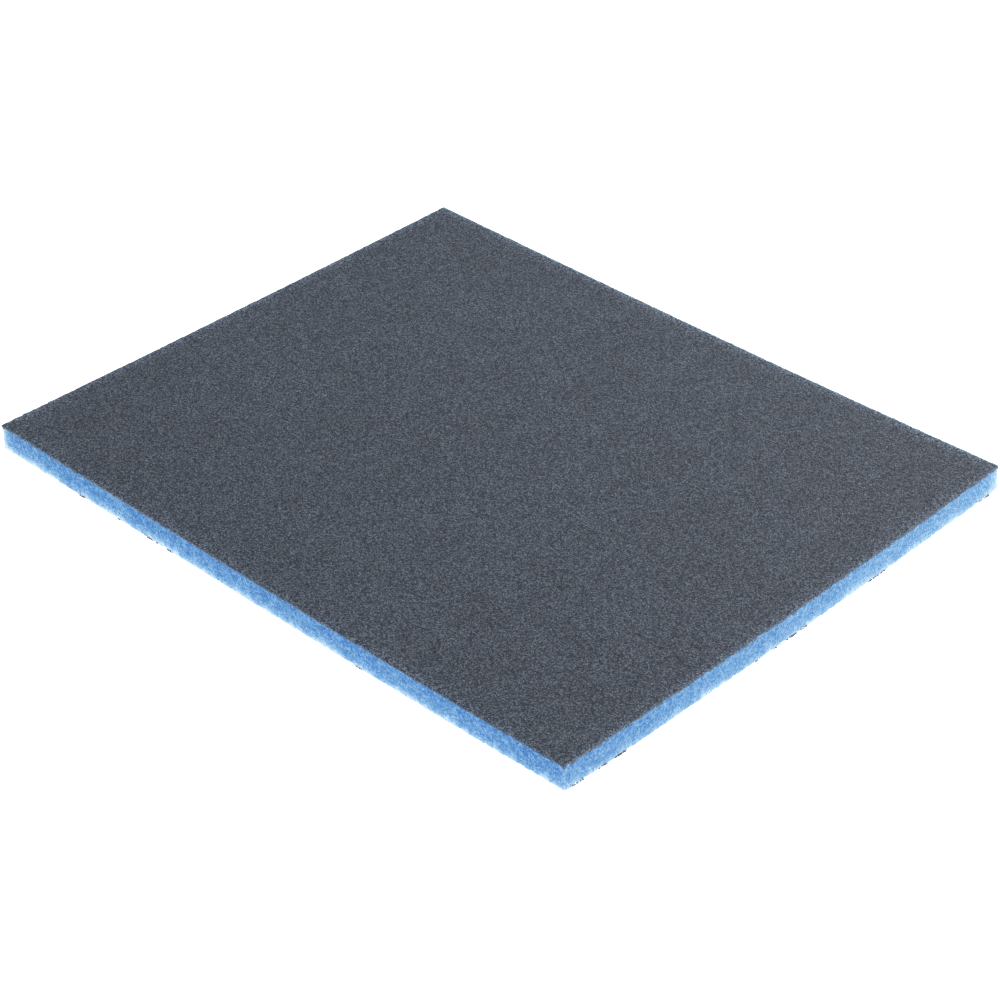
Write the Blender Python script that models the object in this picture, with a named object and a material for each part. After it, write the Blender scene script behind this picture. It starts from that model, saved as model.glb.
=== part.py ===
"""Double-sided foam sanding pad, 140 x 115 x 5 mm, lying flat on its lower face.

A sheet of soft polyurethane foam carries the same abrasive coating on both faces: a thin make
coat of resin, which glues the grain down, and then the grain itself, locked in its size coat.
Pads are punched from the sheet by a steel-rule die that enters through the upper coating, and the
cut gives the rim its shape. The upper coating is rolled over by the blade, and the squeezed foam
springs back into a hollow wall that leans in towards the bottom. The brittle lower coating breaks
off short of the cut, and the foam that it no longer holds swells down round it as a skirt.

Each layer is its own solid: one half section, lofted round the plan of the pad.

Frame, in metres: the origin is the centre of the lower face, +X runs along the length,
+Y across the width and +Z up.
"""

import math

import bmesh
import bpy

# Driving dimensions
PAD_LENGTH = 0.140
PAD_WIDTH = 0.115
PAD_THICKNESS = 0.005

# The layers, from the outside in. The bond line is the parting between two bonded layers, kept
# open by much less than the thinnest of them, so that their faces never coincide.
GRAIN_COAT = 0.00011
MAKE_COAT = 0.00004
BOND_LINE = 0.00002
COATING = GRAIN_COAT + BOND_LINE + MAKE_COAT

# Plan of the pad. A corner's radius grows towards the middle of the pad, so that the lines of
# the section stay evenly spaced round a corner that is nearly sharp.
CORNER_RADIUS = 0.00035
CORNER_GROWTH = 0.6
CORNER_SEGMENTS = 5

# Upper rim, rolled over by the blade: how far it is pressed down and how far in that reaches.
# The compression fades to nothing at the lower face, which stays flat.
ROLL_DROP = 0.00008
ROLL_REACH = 0.0016
ROLL_RINGS = 6
LIP_RADIUS = 0.00008
LIP_SEGMENTS = 4

# Foam wall, all measured inwards from the plan: set back under the upper coating, drawn in
# towards the bottom, and hollow in between.
FOAM_SET_BACK = 0.00005
FOAM_UNDERCUT = 0.00008
FOAM_UNDERCUT_POWER = 1.5
FOAM_HOLLOW = 0.00005
FOAM_WALL_SEGMENTS = 14

# Skirt of foam below the wall: how high its foot hangs above the lower face, how far in it
# ends, and the rounding of its foot.
SKIRT_FOOT = 0.00002
SKIRT_DEPTH = 0.00062
SKIRT_RADIUS = 0.00010
SKIRT_SEGMENTS = 4

# Lower coating, broken off inside the skirt along a slanting break.
BREAK_SET_BACK = 0.00068
BREAK_SLANT = 0.00008

SMOOTH_ANGLE = math.radians(40)

# Name of each finish, with its colour in linear light and its roughness
FINISHES = {
    "grain": ((0.084, 0.095, 0.120, 1.0), 0.85),
    "resin": ((0.030, 0.036, 0.050, 1.0), 0.55),
    "foam": ((0.105, 0.300, 0.640, 1.0), 0.95),
}


def plan_outline(inset):
    """Points round the pad's plan, anticlockwise seen from above, drawn in by inset."""
    radius = CORNER_RADIUS + CORNER_GROWTH * inset
    centre_x = PAD_LENGTH / 2 - inset - radius
    centre_y = PAD_WIDTH / 2 - inset - radius
    points = []
    for quarter, (side_x, side_y) in enumerate(((1, 1), (-1, 1), (-1, -1), (1, -1))):
        for step in range(CORNER_SEGMENTS + 1):
            angle = (quarter + step / CORNER_SEGMENTS) * math.pi / 2
            x = side_x * centre_x + radius * math.cos(angle)
            y = side_y * centre_y + radius * math.sin(angle)
            points.append((x, y))
    return points


def rolled(inset, z):
    """Height of a point after the blade has pressed the rim down, most at the top and edge."""
    nearness = max(0.0, 1 - inset / ROLL_REACH)
    return z - ROLL_DROP * nearness**2 * z / PAD_THICKNESS


def evenly(start, end, count):
    """Values from start towards end, without end itself."""
    return [start + (end - start) * step / count for step in range(count)]


def half_section(wall):
    """Inset and height from the flat of the lower face, up the wall and onto the upper face."""
    first_inset, low = wall[0]
    last_inset, high = wall[-1]
    under = [(inset, low) for inset in evenly(ROLL_REACH, first_inset, ROLL_RINGS)]
    over = [(inset, high) for inset in evenly(ROLL_REACH, last_inset, ROLL_RINGS)]
    section = under + wall + over[::-1]
    return [(inset, rolled(inset, z)) for inset, z in section]


def straight_wall(low, high):
    """Cut edge of a thin layer that the blade leaves flush with the plan."""
    return [(0.0, low), (0.0, high)]


def lipped_wall(low, high):
    """Cut edge of the upper grain coat: upright, then rounded over onto the face."""
    wall = [(0.0, low)]
    for step in range(LIP_SEGMENTS + 1):
        angle = step / LIP_SEGMENTS * math.pi / 2
        inset = LIP_RADIUS * (1 - math.cos(angle))
        wall.append((inset, high - LIP_RADIUS * (1 - math.sin(angle))))
    return wall


def skirt(low):
    """Foam from its underside down into the skirt and out to the foot of the wall."""
    inner = [(SKIRT_DEPTH, low), (SKIRT_DEPTH - SKIRT_RADIUS, SKIRT_FOOT)]
    foot = FOAM_SET_BACK + FOAM_UNDERCUT + SKIRT_RADIUS
    outer = []
    for step in range(SKIRT_SEGMENTS):
        angle = step / SKIRT_SEGMENTS * math.pi / 2
        inset = foot - SKIRT_RADIUS * math.sin(angle)
        outer.append((inset, SKIRT_FOOT + SKIRT_RADIUS * (1 - math.cos(angle))))
    return inner + outer


def sprung_wall(low, high):
    """Cut edge of the foam, which springs back hollow and leans in towards the bottom."""
    wall = skirt(low)
    foot = SKIRT_FOOT + SKIRT_RADIUS
    for step in range(FOAM_WALL_SEGMENTS + 1):
        rise = step / FOAM_WALL_SEGMENTS
        undercut = FOAM_UNDERCUT * (1 - rise) ** FOAM_UNDERCUT_POWER
        hollow = FOAM_HOLLOW * math.sin(math.pi * rise)
        wall.append((FOAM_SET_BACK + undercut + hollow, foot + (high - foot) * rise))
    return wall


def broken_wall(low, high):
    """Edge of a lower layer, broken off inside the skirt and slanting back under itself."""
    return [(BREAK_SET_BACK + BREAK_SLANT * (1 - z / COATING), z) for z in (low, high)]


def make_material(name, colour, roughness):
    material = bpy.data.materials.new(name)
    material.use_nodes = True
    shader = material.node_tree.nodes["Principled BSDF"]
    shader.inputs["Base Color"].default_value = colour
    shader.inputs["Roughness"].default_value = roughness
    shader.inputs["Metallic"].default_value = 0.0
    material.diffuse_color = colour
    return material


def loft(mesh_name, section, base):
    """Closed mesh of a section carried round the plan, with its heights counted from base."""
    shape = bmesh.new()
    rings = [
        [shape.verts.new((x, y, z - base)) for x, y in plan_outline(inset)]
        for inset, z in section
    ]
    for lower, upper in zip(rings, rings[1:]):
        for here in range(len(lower)):
            there = (here + 1) % len(lower)
            shape.faces.new((lower[here], lower[there], upper[there], upper[here]))
    shape.faces.new(rings[0][::-1])
    shape.faces.new(rings[-1])
    mesh = bpy.data.meshes.new(mesh_name)
    shape.to_mesh(mesh)
    shape.free()
    mesh.shade_smooth()
    mesh.set_sharp_from_angle(angle=SMOOTH_ANGLE)
    return mesh


def add_layer(name, low, thickness, cut_edge, material, parent, collection):
    """One layer as an object standing on its own lower face. Returns the height of its top."""
    high = low + thickness
    mesh = loft(name, half_section(cut_edge(low, high)), low)
    mesh.materials.append(material)
    layer = bpy.data.objects.new(name, mesh)
    layer.parent = parent
    layer.location.z = low
    collection.objects.link(layer)
    return high


def clear_scene():
    for old in list(bpy.data.objects):
        bpy.data.objects.remove(old, do_unlink=True)


def build_pad():
    clear_scene()
    collection = bpy.data.collections.new("sanding_pad")
    bpy.context.scene.collection.children.link(collection)
    frame = bpy.data.objects.new("pad_frame", None)
    collection.objects.link(frame)
    materials = {name: make_material(name, *finish) for name, finish in FINISHES.items()}

    foam = PAD_THICKNESS - 2 * (COATING + BOND_LINE)
    stack = (
        ("lower_grain_coat", GRAIN_COAT, broken_wall, "grain"),
        ("lower_make_coat", MAKE_COAT, broken_wall, "resin"),
        ("foam_core", foam, sprung_wall, "foam"),
        ("upper_make_coat", MAKE_COAT, straight_wall, "resin"),
        ("upper_grain_coat", GRAIN_COAT, lipped_wall, "grain"),
    )
    level = 0.0
    for name, thickness, cut_edge, finish in stack:
        top = add_layer(name, level, thickness, cut_edge, materials[finish], frame, collection)
        level = top + BOND_LINE


build_pad()
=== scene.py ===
import math

import bmesh
import bpy
import numpy as np
from mathutils import Matrix, Vector, geometry, noise


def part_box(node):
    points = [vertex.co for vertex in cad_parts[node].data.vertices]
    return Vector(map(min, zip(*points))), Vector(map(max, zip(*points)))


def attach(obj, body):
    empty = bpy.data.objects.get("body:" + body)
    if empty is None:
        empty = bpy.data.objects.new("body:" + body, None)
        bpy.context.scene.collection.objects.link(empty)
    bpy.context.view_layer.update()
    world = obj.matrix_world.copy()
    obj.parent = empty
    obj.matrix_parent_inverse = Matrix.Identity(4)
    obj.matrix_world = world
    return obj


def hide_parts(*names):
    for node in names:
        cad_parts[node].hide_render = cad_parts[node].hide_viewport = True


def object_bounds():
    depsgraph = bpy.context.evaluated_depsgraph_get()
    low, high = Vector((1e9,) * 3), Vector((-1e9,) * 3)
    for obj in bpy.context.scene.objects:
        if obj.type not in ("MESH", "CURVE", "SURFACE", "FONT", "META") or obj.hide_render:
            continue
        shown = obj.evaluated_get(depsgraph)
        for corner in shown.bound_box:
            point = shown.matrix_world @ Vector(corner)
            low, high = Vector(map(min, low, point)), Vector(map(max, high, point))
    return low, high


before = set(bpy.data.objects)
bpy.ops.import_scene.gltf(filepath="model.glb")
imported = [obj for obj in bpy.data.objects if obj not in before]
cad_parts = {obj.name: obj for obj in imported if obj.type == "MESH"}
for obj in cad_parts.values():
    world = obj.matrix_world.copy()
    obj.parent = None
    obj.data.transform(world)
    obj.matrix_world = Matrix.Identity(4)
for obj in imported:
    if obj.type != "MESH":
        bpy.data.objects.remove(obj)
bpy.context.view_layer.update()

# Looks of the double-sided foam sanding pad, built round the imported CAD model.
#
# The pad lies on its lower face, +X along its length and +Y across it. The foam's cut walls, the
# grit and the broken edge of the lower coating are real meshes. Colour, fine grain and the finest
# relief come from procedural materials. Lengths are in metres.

MM = 0.001

# The frame's own measures
PAD_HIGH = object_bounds()[1]
HALF_LENGTH = PAD_HIGH.x
HALF_WIDTH = PAD_HIGH.y
THICKNESS = PAD_HIGH.z
UPPER_MAKE_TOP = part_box("upper_make_coat")[1].z
LOWER_MAKE_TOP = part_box("lower_make_coat")[1].z
LOWER_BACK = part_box("lower_grain_coat")[1].z

# The layers, as thick as in the CAD model
GRAIN_COAT = 0.11 * MM
MAKE_COAT = 0.04 * MM
BOND_LINE = 0.02 * MM
COATING = GRAIN_COAT + MAKE_COAT + 2 * BOND_LINE
UPPER_BACK = THICKNESS - GRAIN_COAT
FOAM_TOP = THICKNESS - COATING
FOAM_UNDER = COATING

# Curl of the soft pad: how far each corner lifts off the table, by the signs of its X and Y
CORNER_LIFT = {(-1, -1): 0.28 * MM, (1, -1): 0.94 * MM, (1, 1): 0.69 * MM, (-1, 1): 0.35 * MM}

# Rim of the upper coating, rolled over by the blade
ROLL_DROP = 0.08 * MM
ROLL_REACH = 1.6 * MM

# The blade ran slightly askew, so three sides lean out towards the bottom. The lean on the +X
# side fades near its +Y end, and the lean on the -Y side fades towards +X.
LEAN_X = 0.42 * MM
LEAN_Y = 0.55 * MM
LEAN_MINUS_Y = 0.22 * MM
LEAN_REACH = 8 * MM
LEAN_TAPER = 0.65
LEAN_TAPER_REACH = 3 * MM
MOST_BELOW = 1.1

# How much further out the whole +Y side is, and how much further in the -X side
SHIFT_AT_Y = 0.20 * MM
SHIFT_AT_MINUS_X = 0.05 * MM

# Plan corners, rounder towards the middle of the pad
CORNER_RADIUS = 0.20 * MM
CORNER_GROWTH = 0.6
CORNER_STEPS = 4

# Coatings: nets of this many squares. The grit's net has its points shifted about at random, by
# parts of a square, and raised by slow swells and the jumble of its grain, which stays within so
# many standard deviations.
GRIT_NET = (336, 276)
RESIN_NET = (112, 92)
BACK_SPACING = 6 * MM
GRIT_SHIFT = 0.30
GRIT_RELIEF = 0.016 * MM
GRIT_SWELL = 0.020 * MM
GRIT_SWELL_SPAN = 2.3 * MM
GRIT_SWELL_OFFSET = 7
JUMBLE_LIMIT = 2.2

# How the grit's edge wanders in and out: in waves of this span, and from point to point, within
# so many standard deviations
EDGE_WAVES = 0.128 * MM
EDGE_WAVE_SPAN = 1.1 * MM
EDGE_JITTER = 0.04 * MM
EDGE_LIMIT = 2

# Rims of the coatings: the rounded lip of the upper one, and the slanting break of the lower
LIP = 0.08 * MM
LIP_MIDDLE = (0.7 * LIP, THICKNESS - 0.3 * LIP)
BREAK_INSET = 0.74 * MM
BREAK_SLANT = 0.03 * MM
LOWER_FACE = 0.02 * MM

# Grains that stand proud of the grit faces, flattened, and the levels of their middles
PROUD_GRAINS = 36000
PROUD_SIZE = (0.07 * MM, 0.15 * MM)
PROUD_FLATNESS = 0.6
UPPER_GRAINS_LEVEL = THICKNESS - 0.01 * MM
LOWER_GRAINS_LEVEL = 0.06 * MM

# Curtain of grit that the blade drew down over the foam: how far it hangs below the coating's
# back, on most sides and on the +X side, and how much more it does so towards -X. Its foot is
# ragged, in waves of this span, with fine teeth, and it always hangs a little.
CURTAIN_DROP = 0.19 * MM
CURTAIN_DROP_AT_X = 0.34 * MM
CURTAIN_TILT = 0.75
CURTAIN_RAG = 0.22 * MM
CURTAIN_RAG_SPAN = 0.8 * MM
CURTAIN_TEETH = 0.04 * MM
CURTAIN_THICKNESS = 0.05 * MM
LEAST_CURTAIN = 0.01 * MM

# Foam wall: columns along the two kinds of side, rows up the wall, and its section
FOAM_COLUMNS = (768, 624)
FOAM_ROWS = 26
FOAM_SET_BACK = 0.05 * MM
FOAM_UNDERCUT = 0.05 * MM
FOAM_UNDERCUT_POWER = 1.5
FOAM_HOLLOW = 0.05 * MM
SKIRT_DEPTH = 0.62 * MM
SKIRT_RADIUS = 0.08 * MM

# Open cells of the foam: their size and depth, how fast they deepen away from a strut, and how
# shallow they get at the foot and under the coating, and how near to those that starts
CELL_SIZE = 0.42 * MM
CELL_DEPTH = 0.065 * MM
CELL_STEEPNESS = 2.2
CELL_POWER = 0.8
LEAST_AT_FOOT = 0.35
FOOT_REACH = 0.32 * MM
LEAST_AT_COATING = 0.15
COATING_REACH = 0.84 * MM
WALL_WANDER = 0.04 * MM
WALL_WANDER_SPAN = 1.7 * MM

# The torn foot of the foam: waves and teeth that lift it, how far up that is felt, and how far
# down it may hang
FOOT_WAVES = 0.36 * MM
FOOT_WAVE_SPAN = 1.1 * MM
FOOT_TEETH = 0.10 * MM
FOOT_HANG = 0.05 * MM
FOOT_RAG_REACH = 0.6 * MM

# Depth of the foam's colour, as a power of it: along the long sides, at the -Y and the +Y end of
# the short sides, and the least there is. The short sides' lower depth is painted light: they are
# painted paler than the long sides, most of all towards +Y.
DEPTH_LONG = 1.03
DEPTH_SHORT_PAINTED_LIGHT = (0.93, 0.75)
LEAST_DEPTH = 0.28

# Part of that depth lost at the foot: painted glow of the bright floor's light through thin foam,
# and how far up it is felt. That height wobbles along the wall, in slow waves and in faster,
# weaker ones.
PAINTED_FOOT_GLOW_LONG = 0.93
PAINTED_FOOT_GLOW_SHORT = 0.75
PAINTED_FOOT_GLOW_REACH = 1.05 * MM
FOOT_WOBBLE = 0.65 * MM
FOOT_WOBBLE_SPAN = 4 * MM
FAST_WOBBLE = 0.39 * MM
FAST_WOBBLE_SPAN = 0.8 * MM

# Painted highlight along each upright corner: the part of the depth lost there, by the signs of
# its
# X and Y, how far in it is felt, and the most that is lost
PAINTED_CORNER_HIGHLIGHT = {(-1, -1): 1.05, (1, -1): 0.40, (1, 1): 0.90, (-1, 1): 0.40}
PAINTED_CORNER_HIGHLIGHT_REACH = {(-1, -1): 1.1 * MM, (1, -1): 0.5 * MM, (1, 1): 1.2 * MM, (-1, 1): 0.5 * MM}
MOST_PAINTED_CORNER_HIGHLIGHT = 0.58

# Crumbs of the lower coating that still hold along the cut. They cling in clumps, and the clumps
# crowd into a few zones, as judged: (start, end, clumps), as parts of half a side, along X on
# the -Y side and along Y on the +X side
CRUMB_ZONES_AT_MINUS_Y = ((-0.7, -0.3, 7), (0.2, 0.4, 1))
CRUMB_ZONES_AT_PLUS_X = ((-0.95, -0.75, 4), (-0.2, 0.2, 6), (0.3, 0.5, 2), (0.9, 0.95, 1))
CLUMP_LENGTH = (0.5 * MM, 3.0 * MM)
CRUMBS_PER_MM = 11.0

# Short runs of crumbs on the two other sides: how many runs, where they may start as parts of
# half a side, how many crumbs one has, and their spacing
STRAY_RUNS = 26
STRAY_STARTS = (-0.95, 0.9)
STRAY_COUNTS = (1, 12)
STRAY_SPACING = (0.1 * MM, 0.35 * MM)

# Shape of a crumb: a lumpy, stretched ball with so many subdivisions, and where it sits: its
# distance in from the plan and its scatter round that, the height of its middle in radii, and how
# much higher it may be
CRUMB_DETAIL = 1
CRUMB_RADIUS = (0.06 * MM, 0.14 * MM)
CRUMB_LUMPS = (0.65, 1.25)
CRUMB_STRETCH = (0.6, 1.2)
CRUMB_INSET = 0.07 * MM
CRUMB_SCATTER = 0.05 * MM
CRUMB_MIDDLE = 0.6
CRUMB_RISE = (-0.02 * MM, 0.12 * MM)

# Where a bubble in the coating left the foam bare
PINHOLE = (6.3 * MM, -39.75 * MM, THICKNESS + 0.02 * MM)
PINHOLE_DETAIL = 2
PINHOLE_RADIUS = 0.13 * MM
PINHOLE_FLATNESS = 0.35

# Grit's look. A grain's tone is a random number to this power. Its rim is dark, over this range
# of the distance from its middle, and some grains, over this range of another random number, are
# glossy. PATCH_TONES are those of slow patches, between the two middle values of a noise.
GRAIN_PITCH = 0.19 * MM
GRAIN_TONE_POWER = 2.15
GRAIN_RIM = (0.35, 0.80)
GRAIN_RIM_TONES = (1.0, 0.35)
GLOSSY_GRAINS = (0.70, 0.95)
GRAIN_ROUGHNESS = (0.70, 0.25)
GRAIN_BUMP = 0.06 * MM
GRAIN_BUMP_STRENGTH = 0.8
NOISE_MIDDLE = (0.3, 0.7)
GRIT_PATCH_SPAN = 9 * MM
GRIT_PATCH_TONES = (0.94, 1.06)

# The rim and the lip of the coating, paler in painted light: a painted blue glow from the foam on
# the +X and -Y sides and a painted sheen on the -X and +Y sides. How far in each of rim and lip
# is felt, how sharply the rim's look fades, how much the grains still show on the lip, and the
# width of the change of sides
RIM_REACH = 5 * MM
RIM_POWER = 4.0
LIP_REACH = 0.3 * MM
LIP_TONES = (0.35, 1.75)
SIDE_CHANGE = 1 * MM

# The other materials' detail
CRUMB_GRAIN = 0.1 * MM
CRUMB_TONES = (0.5, 1.5)
RESIN_PATCH_SPAN = 0.5 * MM
RESIN_PATCH_TONES = (0.7, 1.3)
FOAM_SPECKLE = 0.38 * MM
FOAM_SPECKLE_DEPTHS = (0.70, 1.30)
FOAM_PATCH_SPAN = 2.2 * MM
FOAM_PATCH_DEPTHS = (0.9, 1.1)

# Colours in linear light
DARK_GRAIN = (0.008, 0.018, 0.040)
LIGHT_GRAIN = (0.193, 0.226, 0.276)
# Rim and lip of the grit on the +X and -Y sides: painted blue glow of light from the foam
RIM_GRAIN_PAINTED_GLOW = (0.282, 0.365, 0.500)
LIP_COLOUR_PAINTED_GLOW = (0.118, 0.165, 0.235)
# Rim and lip on the -X and +Y sides: painted sheen of grazing light
FAR_RIM_GRAIN_PAINTED_SHEEN = (0.440, 0.570, 0.760)
FAR_LIP_COLOUR_PAINTED_SHEEN = (0.180, 0.335, 0.430)
CRUMB_COLOUR = (0.135, 0.113, 0.116)
RESIN_COLOUR = (0.045, 0.055, 0.075)
FOAM_COLOUR = (0.086, 0.243, 0.510)
FLOOR_COLOUR = (0.05, 0.05, 0.05, 1)
WHITE = (1, 1, 1, 1)

# Camera, fitted to the pad: angles in degrees, lens and sensor in mm
VIEW_AZIMUTH = 43.657
VIEW_ELEVATION = 34.763
VIEW_ROLL = 0.118
VIEW_DISTANCE = 0.48973
VIEW_RIGHT = 1.098 * MM
VIEW_UP = -9.584 * MM
VIEW_CLIP_START = 0.01
LENS = 97.30
SENSOR = 36.0

# Light and floor
WORLD_LIGHT = 0.75
FLOOR_LIGHT = 1.67
FLOOR_SIZE = 6
FLOOR_LEVEL = -0.01 * MM
KEY_PLACE = (0.02, 0.42, 0.34)
KEY_SIZE = 0.25
KEY_WATTS = 1.5

# Seeds: one stream of random numbers for everything but the two ragged edges
random_numbers = np.random.default_rng(20)
CURTAIN_SEED = 3
FOOT_SEED = 5

# Triangulation: faces inside the outline only, and the least distance between points, in mm
INSIDE_ONLY = 1
LEAST_DISTANCE = 1e-7

# Places of the colour sockets on a Mix node
MIX_FACTOR = 0
MIX_FIRST = 6
MIX_SECOND = 7
MIX_RESULT = 2


# ---------------------------------------------------------------- shared shape of the pad

def curl(x, y):
    """Lift of a point of the pad off the table, from nothing at the middle to its corners."""
    u = x / HALF_LENGTH
    v = y / HALF_WIDTH
    lift = 0.0
    for (side_x, side_y), height in CORNER_LIFT.items():
        lift = lift + height * (1 + side_x * u) * (1 + side_y * v) / 4
    return lift * u**2 * v**2


def rolled(x, y, z):
    """Height of a point after the blade has pressed the rim down."""
    inset = np.minimum(HALF_LENGTH - np.abs(x), HALF_WIDTH - np.abs(y))
    nearness = np.clip(1 - inset / ROLL_REACH, 0, 1)
    return z - ROLL_DROP * nearness**2 * z / THICKNESS


def ease(value, start, end):
    """0 at start, 1 at end, and smooth in between."""
    t = np.clip((value - start) / (end - start), 0, 1)
    return t * t * (3 - 2 * t)


def lean(x, y, z):
    """How far the cut leans out below the upper rim, and how far out its sides are, along X
    and along Y."""
    at_x = ease(x, HALF_LENGTH - LEAN_REACH, HALF_LENGTH)
    at_minus_x = ease(-x, HALF_LENGTH - LEAN_REACH, HALF_LENGTH)
    at_y = ease(y, HALF_WIDTH - LEAN_REACH, HALF_WIDTH)
    at_minus_y = ease(-y, HALF_WIDTH - LEAN_REACH, HALF_WIDTH)
    below = np.clip(1 - z / THICKNESS, 0, MOST_BELOW)
    taper = 1 - LEAN_TAPER * ease(y, HALF_WIDTH - LEAN_TAPER_REACH, HALF_WIDTH)
    fade = 0.5 - 0.5 * x / HALF_LENGTH
    along_x = LEAN_X * below * taper * at_x + SHIFT_AT_MINUS_X * at_minus_x
    along_y = LEAN_Y * below * at_y - LEAN_MINUS_Y * fade * below * at_minus_y
    return along_x, along_y + SHIFT_AT_Y * at_y


def lie(points):
    """Flat design positions moved to where the soft pad really lies."""
    x, y, z = points.T
    along_x, along_y = lean(x, y, z)
    return np.stack([x + along_x, y + along_y, rolled(x, y, z) + curl(x, y)], axis=1)


def waves(points, span, offset=0):
    """Smooth noise at each point, about -1 to 1, that comes and goes over this span."""
    shift = Vector((offset, offset, offset))
    return np.array([noise.noise(Vector(point).to_3d() / span + shift) for point in points])


def cap(ring, level, facing, inner_points):
    """Triangles that close a ring of points, as (extra points, faces). Indices count the ring
    first and the extra points after it."""
    flat = [Vector((x / MM, y / MM)) for x, y in [*ring, *inner_points]]
    count = len(ring)
    edges = [(here, (here + 1) % count) for here in range(count)]
    _, _, faces, origins, _, _ = geometry.delaunay_2d_cdt(
        flat, edges, [], INSIDE_ONLY, LEAST_DISTANCE
    )
    first = [origin[0] for origin in origins]
    faces = [[first[index] for index in face] for face in faces]
    if facing < 0:
        faces = [face[::-1] for face in faces]
    extra = np.array([(x, y, level) for x, y in inner_points])
    return extra, faces


def renumbered(faces, ring, first_extra):
    """A cap's faces in the whole mesh's indices: its ring's, then those from first_extra on."""
    lookup = [int(index) for index in ring]
    highest = max(max(face) for face in faces)
    lookup += range(first_extra, first_extra + highest + 1 - len(ring))
    return [[lookup[index] for index in face] for face in faces]


def inner_net(half_x, half_y, spacing):
    """Evenly spread points inside a rectangle, for the hidden side of a layer."""
    across = np.arange(-half_x + spacing, half_x - spacing / 2, spacing)
    along = np.arange(-half_y + spacing, half_y - spacing / 2, spacing)
    return [(x, y) for x in across for y in along]


def ball(subdivisions, radius):
    """Points and faces of a ball of triangles."""
    shape = bmesh.new()
    bmesh.ops.create_icosphere(shape, subdivisions=subdivisions, radius=radius)
    shape.verts.ensure_lookup_table()
    points = np.array([vertex.co[:] for vertex in shape.verts])
    faces = [tuple(vertex.index for vertex in face.verts) for face in shape.faces]
    shape.free()
    return points, faces


def make_piece(name, points, faces, slot, material, stands_for=None, smooth=True):
    """A piece of the one rigid body, from flat design positions. stands_for is its CAD node."""
    mesh = bpy.data.meshes.new(name)
    mesh.from_pydata(lie(points).tolist(), [], faces)
    mesh.update()
    if smooth:
        mesh.shade_smooth()
    mesh.materials.append(material)
    piece = bpy.data.objects.new(name, mesh)
    bpy.context.scene.collection.objects.link(piece)
    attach(piece, "root")
    if stands_for:
        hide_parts(stands_for)
    return piece


def store_depth(piece, depth):
    """Keeps the colour depth of each point on the mesh, painted light included, for the foam's
    material.
    """
    stored = piece.data.attributes.new("depth_with_painted_light", "FLOAT", "POINT")
    stored.data.foreach_set("value", depth.astype(np.float32))


# ---------------------------------------------------------------- coatings

def net_points(half_x, half_y, net):
    """Points of a rectangular net, row by row from the corner at -X, -Y."""
    x, y = np.meshgrid(
        np.linspace(-half_x, half_x, net[0] + 1), np.linspace(-half_y, half_y, net[1] + 1)
    )
    return np.stack([x.ravel(), y.ravel()], axis=1)


def net_border(net):
    """Indices of a net's border, anticlockwise from the corner at -X, -Y, and how each one
    points outwards."""
    columns, rows = net[0] + 1, net[1] + 1
    index = np.arange(columns * rows).reshape(rows, columns)
    border = np.concatenate([index[0, :-1], index[:-1, -1], index[-1, :0:-1], index[:0:-1, 0]])
    row, column = np.divmod(border, columns)
    outward_x = (column == columns - 1).astype(float) - (column == 0)
    outward_y = (row == rows - 1).astype(float) - (row == 0)
    return border, np.stack([outward_x, outward_y], axis=1)


def net_faces(net, facing):
    columns = net[0] + 1
    faces = []
    for row in range(net[1]):
        for column in range(net[0]):
            here = row * columns + column
            face = (here, here + 1, here + 1 + columns, here + columns)
            faces.append(face if facing > 0 else face[::-1])
    return faces


def rim_faces(ring, next_ring, facing):
    """Faces between two rings of a coating's rim, from its face towards its back."""
    faces = []
    for here in range(len(ring)):
        there = (here + 1) % len(ring)
        face = [int(ring[here]), int(next_ring[here]), int(next_ring[there]), int(ring[there])]
        faces.append(face if facing > 0 else face[::-1])
    return faces


def roughened(plan, border, outward, square, facing):
    """A grit face's plan, shifted about and with its border wandering, and its relief."""
    shift = random_numbers.uniform(-GRIT_SHIFT, GRIT_SHIFT, plan.shape) * square
    shift[border] = 0
    plan = plan + shift
    swell = waves(plan, GRIT_SWELL_SPAN, facing * GRIT_SWELL_OFFSET)
    jumble = random_numbers.normal(0, 1, len(plan)).clip(-JUMBLE_LIMIT, JUMBLE_LIMIT)
    drift = EDGE_WAVES * waves(plan[border], EDGE_WAVE_SPAN)
    drift += EDGE_JITTER * random_numbers.normal(0, 1, len(border)).clip(-EDGE_LIMIT, EDGE_LIMIT)
    plan[border] += outward * drift[:, None]
    return plan, GRIT_SWELL * swell + GRIT_RELIEF * jumble


def coating(name, half_x, half_y, face_z, back_z, edge, net, rough, **piece):
    """A thin closed sheet. Its face is a net at face_z, with grit if rough, and its back is
    plain. edge is the rim, from the face's border to the back, as (outwards, height), where a
    height may be a function of the rim's points and the way they face."""
    facing = 1 if face_z > back_z else -1
    plan = net_points(half_x, half_y, net)
    border, outward = net_border(net)
    height = np.full(len(plan), face_z)
    if rough:
        plan, relief = roughened(plan, border, outward, 2 * half_x / net[0], facing)
        height = height + relief
    points = [np.column_stack([plan, height])]
    faces = net_faces(net, facing)
    ring = border
    total = len(plan)
    for outset, level in edge:
        row = plan[border] + outward * outset
        heights = level(row, outward) if callable(level) else np.full(len(row), level)
        points.append(np.column_stack([row, heights]))
        next_ring = np.arange(total, total + len(row))
        faces += rim_faces(ring, next_ring, facing)
        ring = next_ring
        total += len(row)
    extra, back_faces = cap(row, level, -facing, inner_net(half_x, half_y, BACK_SPACING))
    points.append(extra)
    faces += renumbered(back_faces, ring, total)
    return make_piece(name, np.concatenate(points), faces, **piece)


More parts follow.
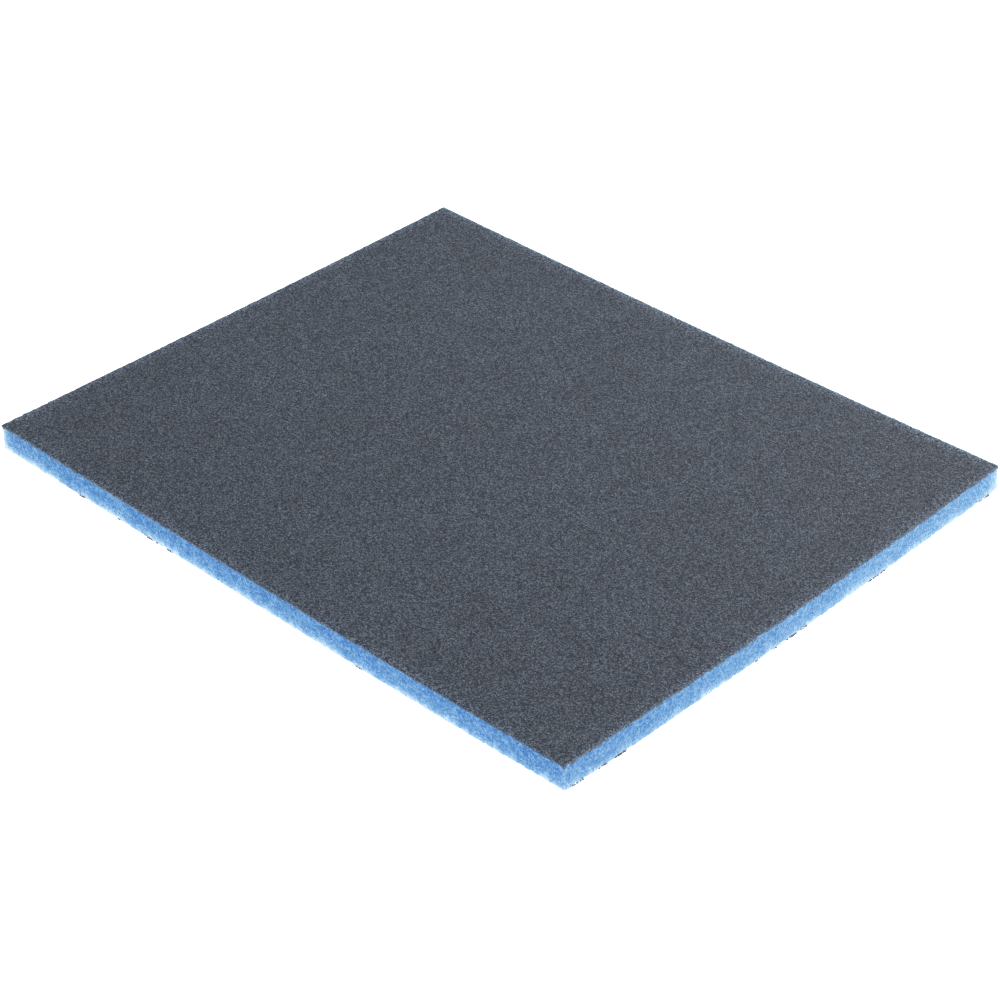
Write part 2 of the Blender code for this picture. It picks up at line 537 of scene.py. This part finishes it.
def curtain_foot(row, outward):
    """Ragged lower edge of the grit curtain round the upper rim."""
    tilt = 1 - CURTAIN_TILT * row[:, 0] / HALF_LENGTH
    drop = np.where(outward[:, 0] > 0, CURTAIN_DROP_AT_X, CURTAIN_DROP * tilt)
    teeth = np.random.default_rng(CURTAIN_SEED).normal(0, 1, len(row))
    teeth = teeth.clip(-EDGE_LIMIT, EDGE_LIMIT)
    rag = CURTAIN_RAG * waves(row, CURTAIN_RAG_SPAN) + CURTAIN_TEETH * teeth
    return np.minimum(UPPER_BACK - drop + rag, UPPER_BACK - LEAST_CURTAIN)


def upper_coating(grit, resin):
    curtain = [
        LIP_MIDDLE,
        (LIP, UPPER_BACK),
        (LIP, curtain_foot),
        (LIP - CURTAIN_THICKNESS, curtain_foot),
        (LIP - CURTAIN_THICKNESS, UPPER_BACK),
    ]
    half_x = HALF_LENGTH - LIP
    half_y = HALF_WIDTH - LIP
    coating(
        "upper_grit", half_x, half_y, THICKNESS, UPPER_BACK,
        edge=curtain, net=GRIT_NET, rough=True,
        slot="grain", material=grit, stands_for="upper_grain_coat",
    )
    under = UPPER_MAKE_TOP - MAKE_COAT
    coating(
        "upper_resin", half_x, half_y, UPPER_MAKE_TOP, under,
        edge=[(0, under)], net=RESIN_NET, rough=False,
        slot="resin", material=resin, stands_for="upper_make_coat",
    )


def lower_coating(grit, resin):
    half_x = HALF_LENGTH - BREAK_INSET
    half_y = HALF_WIDTH - BREAK_INSET
    coating(
        "lower_grit", half_x, half_y, LOWER_FACE, LOWER_BACK,
        edge=[(BREAK_SLANT, LOWER_BACK)], net=GRIT_NET, rough=True,
        slot="grain", material=grit, stands_for="lower_grain_coat",
    )
    coating(
        "lower_resin", half_x, half_y, LOWER_MAKE_TOP - MAKE_COAT, LOWER_MAKE_TOP,
        edge=[(0, LOWER_MAKE_TOP)], net=RESIN_NET, rough=False,
        slot="resin", material=resin, stands_for="lower_make_coat",
    )


def random_rotations(count):
    """Rotation matrices, evenly spread, from random unit quaternions."""
    turn = random_numbers.normal(0, 1, (count, 4))
    w, x, y, z = (turn / np.linalg.norm(turn, axis=1, keepdims=True)).T
    return np.array(
        [
            [1 - 2 * (y * y + z * z), 2 * (x * y - z * w), 2 * (x * z + y * w)],
            [2 * (x * y + z * w), 1 - 2 * (x * x + z * z), 2 * (y * z - x * w)],
            [2 * (x * z - y * w), 2 * (y * z + x * w), 1 - 2 * (x * x + y * y)],
        ]
    ).transpose(2, 0, 1)


def proud_grains(name, level, half_x, half_y, material):
    """Sharp single grains, each a squat tetrahedron set at random into the face."""
    x = random_numbers.uniform(-half_x, half_x, PROUD_GRAINS)
    y = random_numbers.uniform(-half_y, half_y, PROUD_GRAINS)
    centres = np.column_stack([x, y, np.full(PROUD_GRAINS, level)])
    corners = np.array([(1, 1, 1), (1, -1, -1), (-1, 1, -1), (-1, -1, 1)]) / math.sqrt(3)
    rotation = random_rotations(PROUD_GRAINS)
    radius = random_numbers.uniform(*PROUD_SIZE, (PROUD_GRAINS, 1, 1))
    shape = np.einsum("nij,kj->nki", rotation, corners) * radius
    shape[:, :, 2] *= PROUD_FLATNESS
    points = (centres[:, None, :] + shape).reshape(-1, 3)
    points[:, 2] = np.maximum(points[:, 2], 0)
    sides = ((0, 1, 2), (0, 3, 1), (0, 2, 3), (1, 3, 2))
    faces = [
        tuple(4 * grain + corner for corner in side)
        for grain in range(PROUD_GRAINS)
        for side in sides
    ]
    make_piece(name, points, faces, "grain", material, smooth=False)


def clumps(zones, half_side):
    """Positions along a side, in clumps strewn over its zones."""
    places = []
    for start, end, count in zones:
        for middle in random_numbers.uniform(start, end, count) * half_side:
            length = random_numbers.uniform(*CLUMP_LENGTH)
            held = round(length / MM * CRUMBS_PER_MM)
            places += list(middle + length * random_numbers.uniform(-0.5, 0.5, held))
    return places


def crumb_places():
    """Plan positions of the crumbs: in their clumps, then in short runs on the -X and +Y
    sides."""
    places = [(x, -HALF_WIDTH) for x in clumps(CRUMB_ZONES_AT_MINUS_Y, HALF_LENGTH)]
    places += [(HALF_LENGTH, y) for y in clumps(CRUMB_ZONES_AT_PLUS_X, HALF_WIDTH)]
    for run in range(STRAY_RUNS):
        start = random_numbers.uniform(*STRAY_STARTS)
        for step in range(int(random_numbers.integers(*STRAY_COUNTS))):
            along = start + step * random_numbers.uniform(*STRAY_SPACING) / HALF_LENGTH
            if run % 2:
                places.append((-HALF_LENGTH, along * HALF_WIDTH))
            else:
                places.append((along * HALF_LENGTH, HALF_WIDTH))
    return places


def crumbs(material):
    """Broken bits of the lower coating along the foot of the wall, each a lumpy closed bead."""
    sphere, sides = ball(CRUMB_DETAIL, 1.0)
    points = []
    faces = []
    for x, y in crumb_places():
        radius = random_numbers.uniform(*CRUMB_RADIUS)
        lumps = random_numbers.uniform(*CRUMB_LUMPS, (len(sphere), 1))
        stretch = random_numbers.uniform(*CRUMB_STRETCH, 3)
        centre = (
            x * (1 - CRUMB_INSET / HALF_LENGTH) + random_numbers.normal(0, CRUMB_SCATTER),
            y * (1 - CRUMB_INSET / HALF_WIDTH) + random_numbers.normal(0, CRUMB_SCATTER),
            radius * CRUMB_MIDDLE + random_numbers.uniform(*CRUMB_RISE),
        )
        first = len(points) * len(sphere)
        points.append(np.array(centre) + sphere * lumps * stretch * radius)
        faces += [tuple(first + index for index in side) for side in sides]
    points = np.concatenate(points)
    points[:, 2] = np.maximum(points[:, 2], 0)
    make_piece("crumbs", points, faces, "grain", material, smooth=False)


def pinhole(material):
    """A speck of bare foam, showing through a bubble in the upper coating."""
    points, faces = ball(PINHOLE_DETAIL, PINHOLE_RADIUS)
    points = points * (1, 1, PINHOLE_FLATNESS) + PINHOLE
    store_depth(make_piece("pinhole", points, faces, "foam", material), np.ones(len(points)))


# ---------------------------------------------------------------- foam

def outline(inset):
    """Points round the plan, anticlockwise, and the way each one faces."""
    radius = CORNER_RADIUS + CORNER_GROWTH * inset
    centre = np.array([HALF_LENGTH - inset - radius, HALF_WIDTH - inset - radius])
    corners = ((1, 1), (-1, 1), (-1, -1), (1, -1))
    points = []
    outward = []
    for quarter, sides in enumerate(corners):
        for step in range(CORNER_STEPS + 1):
            angle = (quarter + step / CORNER_STEPS) * math.pi / 2
            facing = np.array([math.cos(angle), math.sin(angle)])
            points.append(centre * sides + radius * facing)
            outward.append(facing)
        columns = FOAM_COLUMNS[quarter % 2]
        start = points[-1]
        end = centre * corners[(quarter + 1) % 4] + radius * facing
        for step in range(1, columns):
            points.append(start + (end - start) * step / columns)
            outward.append(facing)
    return np.array(points), np.array(outward)


def foam_section():
    """Half section of the foam, as (inset, height), from its underside round the skirt and up
    the wall."""
    inner = [(SKIRT_DEPTH, FOAM_UNDER), (SKIRT_DEPTH - SKIRT_RADIUS, 0.0)]
    foot = FOAM_SET_BACK + FOAM_UNDERCUT + SKIRT_RADIUS
    rounding = [
        (foot - SKIRT_RADIUS * math.sin(angle), SKIRT_RADIUS * (1 - math.cos(angle)))
        for angle in (0, math.pi / 4)
    ]
    wall = []
    for step in range(FOAM_ROWS + 1):
        rise = step / FOAM_ROWS
        undercut = FOAM_UNDERCUT * (1 - rise) ** FOAM_UNDERCUT_POWER
        hollow = FOAM_HOLLOW * math.sin(math.pi * rise)
        height = SKIRT_RADIUS + (FOAM_TOP - SKIRT_RADIUS) * rise
        wall.append((FOAM_SET_BACK + undercut + hollow, height))
    return np.array(inner + rounding + wall)


def section_facing(section):
    """Which way the foam faces at each point of its section, as (outwards, upwards)."""
    slope = np.gradient(section, axis=0)
    facing = np.column_stack([slope[:, 1], slope[:, 0]])
    return facing / np.linalg.norm(facing, axis=1, keepdims=True)


def cell_depth(point):
    """Depth of the cut foam below its surface, 0 on a strut and 1 in the middle of a cell."""
    near, _ = noise.voronoi(point / CELL_SIZE)
    return min(1.0, (near[1] - near[0]) * CELL_STEEPNESS) ** CELL_POWER


def foot_rag(plan):
    """How far the torn foot of the foam is lifted, along the outline."""
    teeth = np.random.default_rng(FOOT_SEED).uniform(-1, 1, len(plan))
    rag = FOOT_WAVES * waves(plan, FOOT_WAVE_SPAN) + FOOT_TEETH * teeth
    return np.maximum(rag, -FOOT_HANG)


def wall_row(inset, height, facing, rag):
    """One ring of the foam's surface, with its open cells, slow drift and torn foot."""
    plan, outward = outline(inset)
    points = np.column_stack([plan, np.full(len(plan), height)])
    normals = np.column_stack([outward * facing[0], np.full(len(plan), facing[1])])
    cells = CELL_DEPTH * np.array([cell_depth(Vector(point)) for point in points])
    above_foot = min(1.0, max(LEAST_AT_FOOT, height / FOOT_REACH))
    below_coating = min(1.0, max(LEAST_AT_COATING, (FOAM_TOP - height) / COATING_REACH))
    drift = WALL_WANDER * waves(points, WALL_WANDER_SPAN) * above_foot
    points += normals * (drift - cells * above_foot * below_coating)[:, None]
    points[:, 2] += rag * max(0.0, 1 - height / FOOT_RAG_REACH)
    points[:, 2] = np.maximum(points[:, 2], 0)
    return points


def wall_faces(rows, columns):
    """Faces between the rings of the foam's surface."""
    faces = []
    for row in range(rows - 1):
        low = row * columns
        high = low + columns
        for here in range(columns):
            there = (here + 1) % columns
            faces.append((low + here, low + there, high + there, high + here))
    return faces


def depth_with_painted_light(points):
    """Power of the foam's colour at each point: 1 for full colour, less where it is painted
    paler: painted light on the short sides, a painted glow at the foot and painted highlights
    along the upright corners.
    """
    x, y, z = points.T
    long_side = HALF_WIDTH - np.abs(y) < HALF_LENGTH - np.abs(x)
    # Short sides painted paler, more towards +Y: painted light
    short = np.interp(y, (-HALF_WIDTH, HALF_WIDTH), DEPTH_SHORT_PAINTED_LIGHT)
    full = np.where(long_side, DEPTH_LONG, short)
    painted_foot_glow = np.where(long_side, PAINTED_FOOT_GLOW_LONG, PAINTED_FOOT_GLOW_SHORT)
    plan = points[:, :2]
    wobble = FOOT_WOBBLE * waves(plan, FOOT_WOBBLE_SPAN)
    wobble += FAST_WOBBLE * waves(plan, FAST_WOBBLE_SPAN)
    height = np.maximum(z, 0) + wobble
    # Painted glow at the foot: the depth falls, and the blue pales, towards the floor
    depth = full * (1 - painted_foot_glow * np.exp(-height / PAINTED_FOOT_GLOW_REACH))
    # Painted highlight along each upright corner
    for corner, corner_highlight in PAINTED_CORNER_HIGHLIGHT.items():
        side_x, side_y = corner
        away = np.maximum(HALF_LENGTH - side_x * x, HALF_WIDTH - side_y * y)
        lost = corner_highlight * np.exp(-np.maximum(away, 0) / PAINTED_CORNER_HIGHLIGHT_REACH[corner])
        depth *= 1 - np.minimum(lost, MOST_PAINTED_CORNER_HIGHLIGHT)
    return np.maximum(depth, LEAST_DEPTH)


def foam_core(material):
    section = foam_section()
    rag = foot_rag(outline(FOAM_SET_BACK)[0])
    rows = [
        wall_row(inset, height, facing, rag)
        for (inset, height), facing in zip(section, section_facing(section))
    ]
    columns = len(rows[0])
    total = len(rows) * columns
    inner = inner_net(HALF_LENGTH, HALF_WIDTH, BACK_SPACING)
    under, under_faces = cap(rows[0][:, :2], FOAM_UNDER, -1, inner)
    over, over_faces = cap(rows[-1][:, :2], FOAM_TOP, 1, inner)
    faces = wall_faces(len(rows), columns)
    faces += renumbered(under_faces, range(columns), total)
    faces += renumbered(over_faces, range(total - columns, total), total + len(under))
    points = np.concatenate(rows + [under, over])
    foam = make_piece("foam_cells", points, faces, "foam", material, "foam_core")
    store_depth(foam, depth_with_painted_light(points))


# ---------------------------------------------------------------- shader nodes

def new_material(name):
    """A material with its node tree, its shader and the object's own coordinates."""
    material = bpy.data.materials.new(name)
    material.use_nodes = True
    tree = material.node_tree
    place = node(tree, "ShaderNodeTexCoord").outputs["Object"]
    return material, tree, tree.nodes["Principled BSDF"], place


def feed(tree, socket, value):
    """Links a socket to another node's output, or gives it a value of its own."""
    if isinstance(value, bpy.types.NodeSocket):
        tree.links.new(value, socket)
    else:
        socket.default_value = value


def set_inputs(tree, made, **inputs):
    """Feeds a node's inputs, by socket name, with underscores for its spaces."""
    for name, value in inputs.items():
        feed(tree, made.inputs[name.replace("_", " ")], value)


def node(tree, kind, settings=None, **inputs):
    """Adds a shader node, with its settings and its inputs."""
    made = tree.nodes.new(kind)
    for name, value in (settings or {}).items():
        setattr(made, name, value)
    set_inputs(tree, made, **inputs)
    return made


def maths(tree, operation, first, second):
    made = node(tree, "ShaderNodeMath", {"operation": operation})
    feed(tree, made.inputs[0], first)
    feed(tree, made.inputs[1], second)
    return made.outputs[0]


def spread(tree, value, start, end, to_start, to_end):
    """Remaps a value from one range to another and keeps it inside."""
    made = node(
        tree, "ShaderNodeMapRange", {"clamp": True}, Value=value,
        From_Min=start, From_Max=end, To_Min=to_start, To_Max=to_end,
    )
    return made.outputs["Result"]


def scaled(tree, colour, strength):
    """A colour, plain or from another node, times a value."""
    made = node(tree, "ShaderNodeVectorMath", {"operation": "SCALE"}, Scale=strength)
    feed(tree, made.inputs[0], colour)
    return made.outputs[0]


def blend(tree, factor, first, second):
    """A colour between two, each plain or from another node."""
    made = node(tree, "ShaderNodeMix", {"data_type": "RGBA"})
    feed(tree, made.inputs[MIX_FACTOR], factor)
    for index, colour in ((MIX_FIRST, first), (MIX_SECOND, second)):
        feed(tree, made.inputs[index], (*colour, 1) if isinstance(colour, tuple) else colour)
    return made.outputs[MIX_RESULT]


def patches(tree, place, span, detail, values):
    """A value that drifts between two, over this span."""
    cloud = node(tree, "ShaderNodeTexNoise", Vector=place, Scale=1 / span, Detail=detail)
    return spread(tree, cloud.outputs["Fac"], *NOISE_MIDDLE, *values)


def grains(tree, place, span):
    """Cells of this size: the distance from a cell's middle, and two random numbers of its
    own."""
    cell = node(tree, "ShaderNodeTexVoronoi", Vector=place, Scale=1 / span)
    chance = node(tree, "ShaderNodeSeparateColor", Color=cell.outputs["Color"]).outputs
    return cell.outputs["Distance"], chance["Red"], chance["Green"]


def rim_nearness(tree, place, reach):
    """1 at the pad's rim, falling to 0 at this distance in from it."""
    across = node(tree, "ShaderNodeVectorMath", {"operation": "ABSOLUTE"})
    feed(tree, across.inputs[0], place)
    inwards = node(tree, "ShaderNodeVectorMath", {"operation": "SUBTRACT"})
    feed(tree, inwards.inputs[0], (HALF_LENGTH, HALF_WIDTH, 0))
    feed(tree, inwards.inputs[1], across.outputs[0])
    parts = node(tree, "ShaderNodeSeparateXYZ", Vector=inwards.outputs[0]).outputs
    nearest = maths(tree, "MINIMUM", parts["X"], parts["Y"])
    return spread(tree, nearest, 0, reach, 1, 0)


# Mask that parts the rim's painted glow from its painted sheen
def far_side(tree, place):
    """0 on the sides towards +X and -Y, and 1 on those towards -X and +Y: the pad's diagonal
    parts them."""
    parts = node(tree, "ShaderNodeSeparateXYZ", Vector=place).outputs
    diagonal = maths(tree, "MULTIPLY", parts["X"], HALF_WIDTH / HALF_LENGTH)
    beyond = maths(tree, "SUBTRACT", parts["Y"], diagonal)
    return spread(tree, beyond, -SIDE_CHANGE, SIDE_CHANGE, 0, 1)


# ---------------------------------------------------------------- materials

def grit_material():
    """Dark mineral grain in resin: each grain has its own grey and its own gloss."""
    material, tree, shader, place = new_material("grit")
    distance, chance, other_chance = grains(tree, place, GRAIN_PITCH)
    tone = maths(tree, "POWER", chance, GRAIN_TONE_POWER)
    valley = spread(tree, distance, *GRAIN_RIM, *GRAIN_RIM_TONES)
    patch = patches(tree, place, GRIT_PATCH_SPAN, 3.0, GRIT_PATCH_TONES)
    # Painted light on the rim and lip: a blue glow on the +X and -Y sides, a sheen on the -X and
    # +Y sides
    rim = maths(tree, "POWER", rim_nearness(tree, place, RIM_REACH), RIM_POWER)
    lip = rim_nearness(tree, place, LIP_REACH)
    far = far_side(tree, place)
    light = blend(tree, rim, LIGHT_GRAIN, blend(tree, far, RIM_GRAIN_PAINTED_GLOW, FAR_RIM_GRAIN_PAINTED_SHEEN))
    colour = blend(tree, tone, DARK_GRAIN, light)
    colour = scaled(tree, colour, maths(tree, "MULTIPLY", valley, patch))
    lip_painted_glow_and_sheen = blend(tree, far, LIP_COLOUR_PAINTED_GLOW, FAR_LIP_COLOUR_PAINTED_SHEEN)
    lip_painted_glow_and_sheen = scaled(tree, lip_painted_glow_and_sheen, spread(tree, tone, 0, 1, *LIP_TONES))
    bump = node(
        tree, "ShaderNodeBump", {"invert": True},
        Height=distance, Strength=GRAIN_BUMP_STRENGTH, Distance=GRAIN_BUMP,
    )
    set_inputs(
        tree, shader,
        Base_Color=blend(tree, lip, colour, lip_painted_glow_and_sheen),
        Roughness=spread(tree, other_chance, *GLOSSY_GRAINS, *GRAIN_ROUGHNESS),
        Specular_IOR_Level=0.35,
        Normal=bump.outputs["Normal"],
    )
    return material


def crumb_material():
    """Broken coating, with its pale fracture among the dark grain."""
    material, tree, shader, place = new_material("broken_grit")
    _, chance, _ = grains(tree, place, CRUMB_GRAIN)
    colour = scaled(tree, CRUMB_COLOUR, spread(tree, chance, 0, 1, *CRUMB_TONES))
    set_inputs(tree, shader, Base_Color=colour, Roughness=0.7)
    return material


def resin_material():
    """Thin satin film with a faint mottle."""
    material, tree, shader, place = new_material("resin")
    patch = patches(tree, place, RESIN_PATCH_SPAN, 2.0, RESIN_PATCH_TONES)
    set_inputs(tree, shader, Base_Color=scaled(tree, RESIN_COLOUR, patch), Roughness=0.5)
    return material


def foam_material():
    """Blue flexible foam. Where the stored depth is less, the blue is paler: painted light on the
    short sides, a painted glow at the foot and painted highlights along the upright corners.
    """
    material, tree, shader, place = new_material("foam")
    # Stored depth, with the painted light of the walls
    kept_with_painted_light = node(tree, "ShaderNodeAttribute", {"attribute_name": "depth_with_painted_light"}).outputs["Fac"]
    _, chance, _ = grains(tree, place, FOAM_SPECKLE)
    speckle = spread(tree, chance, 0, 1, *FOAM_SPECKLE_DEPTHS)
    patch = patches(tree, place, FOAM_PATCH_SPAN, 2.0, FOAM_PATCH_DEPTHS)
    depth = maths(tree, "MULTIPLY", maths(tree, "MULTIPLY", kept_with_painted_light, speckle), patch)
    colour = node(tree, "ShaderNodeGamma", Color=(*FOAM_COLOUR, 1), Gamma=depth)
    set_inputs(
        tree, shader,
        Base_Color=colour.outputs[0],
        Roughness=0.9,
        Specular_IOR_Level=0.3,
        Subsurface_Weight=0.6,
        Subsurface_Radius=(0.8, 0.8, 0.8),
        Subsurface_Scale=0.3 * MM,
    )
    return material


def floor_material():
    """White floor that lights itself, and the foot of the pad."""
    material, tree, shader, _ = new_material("floor")
    set_inputs(
        tree, shader,
        Base_Color=FLOOR_COLOUR,
        Roughness=1.0,
        Specular_IOR_Level=0.0,
        Emission_Color=WHITE,
        Emission_Strength=FLOOR_LIGHT,
    )
    return material


# ---------------------------------------------------------------- stage

def add_floor():
    bpy.ops.mesh.primitive_plane_add(size=FLOOR_SIZE, location=(0, 0, FLOOR_LEVEL))
    floor = bpy.context.object
    floor.name = "floor"
    floor.data.materials.append(floor_material())


def add_key():
    light = bpy.data.lights.new("key", "AREA")
    light.shape = "DISK"
    light.size = KEY_SIZE
    light.energy = KEY_WATTS
    lamp = bpy.data.objects.new("key", light)
    lamp.location = KEY_PLACE
    lamp.rotation_euler = (-Vector(KEY_PLACE)).to_track_quat("-Z", "Y").to_euler()
    lamp.visible_camera = False
    bpy.context.scene.collection.objects.link(lamp)


def add_world():
    world = bpy.data.worlds.new("soft_room")
    world.use_nodes = True
    bpy.context.scene.world = world
    background = world.node_tree.nodes["Background"]
    background.inputs["Color"].default_value = WHITE
    background.inputs["Strength"].default_value = WORLD_LIGHT


def add_camera():
    azimuth = math.radians(VIEW_AZIMUTH)
    elevation = math.radians(VIEW_ELEVATION)
    roll = math.radians(VIEW_ROLL)
    level = math.cos(elevation)
    back = Vector((math.sin(azimuth) * level, -math.cos(azimuth) * level, math.sin(elevation)))
    level_right = Vector((math.cos(azimuth), math.sin(azimuth), 0))
    level_up = back.cross(level_right)
    right = math.cos(roll) * level_right + math.sin(roll) * level_up
    up = math.cos(roll) * level_up - math.sin(roll) * level_right
    aim = Vector((0, 0, THICKNESS)) + right * VIEW_RIGHT + up * VIEW_UP
    data = bpy.data.cameras.new("camera")
    data.lens = LENS
    data.sensor_width = SENSOR
    data.clip_start = VIEW_CLIP_START
    camera = bpy.data.objects.new("camera", data)
    turn = Matrix((right, up, back)).transposed().to_4x4()
    camera.matrix_world = Matrix.Translation(aim + back * VIEW_DISTANCE) @ turn
    bpy.context.scene.collection.objects.link(camera)
    bpy.context.scene.camera = camera


def add_stage():
    bpy.context.scene.view_settings.view_transform = "Standard"
    bpy.context.scene.cycles.use_denoising = False
    add_world()
    add_floor()
    add_camera()
    add_key()


def add_pad():
    grit = grit_material()
    resin = resin_material()
    foam = foam_material()
    foam_core(foam)
    upper_coating(grit, resin)
    lower_coating(grit, resin)
    proud_grains("upper_grains", UPPER_GRAINS_LEVEL, HALF_LENGTH - LIP, HALF_WIDTH - LIP, grit)
    proud_grains(
        "lower_grains", LOWER_GRAINS_LEVEL,
        HALF_LENGTH - BREAK_INSET, HALF_WIDTH - BREAK_INSET, grit,
    )
    crumbs(crumb_material())
    pinhole(foam)


add_stage()
add_pad()
